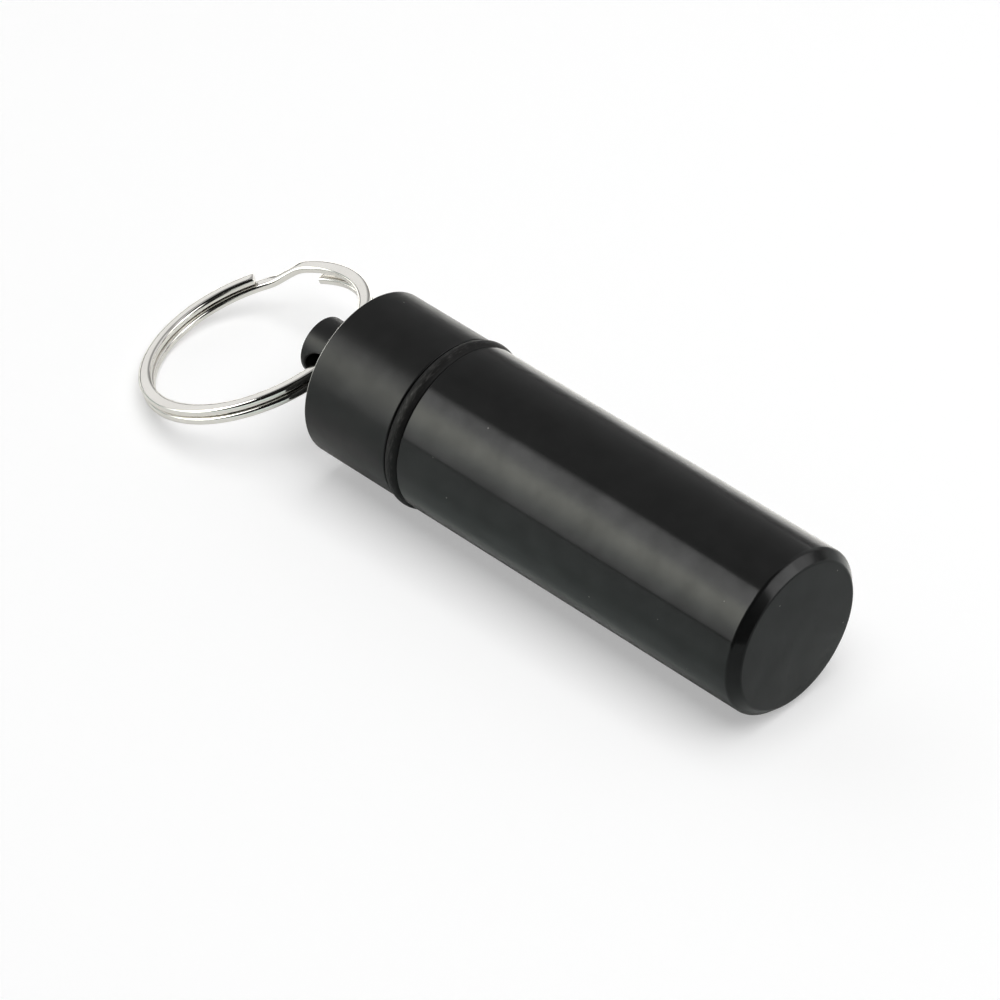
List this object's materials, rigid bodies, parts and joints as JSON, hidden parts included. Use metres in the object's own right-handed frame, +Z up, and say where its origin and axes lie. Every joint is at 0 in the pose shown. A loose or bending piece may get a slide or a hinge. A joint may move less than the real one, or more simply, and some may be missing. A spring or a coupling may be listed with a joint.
{
  "type": "pill container keychain",
  "caption": "Turned metal pill container with a screw cap, a rubber seal under the cap's rim and a split ring through the cap's knob.",
  "frame": {"origin": "centre of the tube's flat closed end, on the container's axis", "axes": "+X along the container's axis from the closed end to the cap and ring, +Z up with the container lying on its side; the surface it lies on is 7.0 mm below the axis at the closed end and 7.22 mm below it at the seal"},
  "size_m": [0.0662, 0.0198, 0.0146],
  "materials": {
    "anodised_black": "black anodised, semi-gloss",
    "seal_rubber": "satin black",
    "plated_steel": "bright nickel plate"
  },
  "bodies": {
    "tube": {"tube": "anodised_black"},
    "seal": {"seal_ring": "seal_rubber"},
    "cap": {"cap": "anodised_black"},
    "ring": {"split_ring": "plated_steel"}
  },
  "joints": [
    {"name": "cap_turn", "type": "hinge", "parent": "tube", "child": "seal", "pos_m": [0.0348, 0, 0], "axis": [1, 0, 0], "range_deg": [0, 2160]},
    {"name": "cap_lift", "type": "slide", "parent": "seal", "child": "cap", "axis": [1, 0, 0], "range_m": [0, 0.006]},
    {"name": "ring_swing", "type": "hinge", "parent": "cap", "child": "ring", "pos_m": [0.04804, 0, 0], "axis": [0, -0.9851, 0.1719], "range_deg": [-105, 143]}
  ],
  "couplings": [
    {"joint": "cap_lift", "follows": "cap_turn", "m_per_rad": 0.00015915}
  ]
}
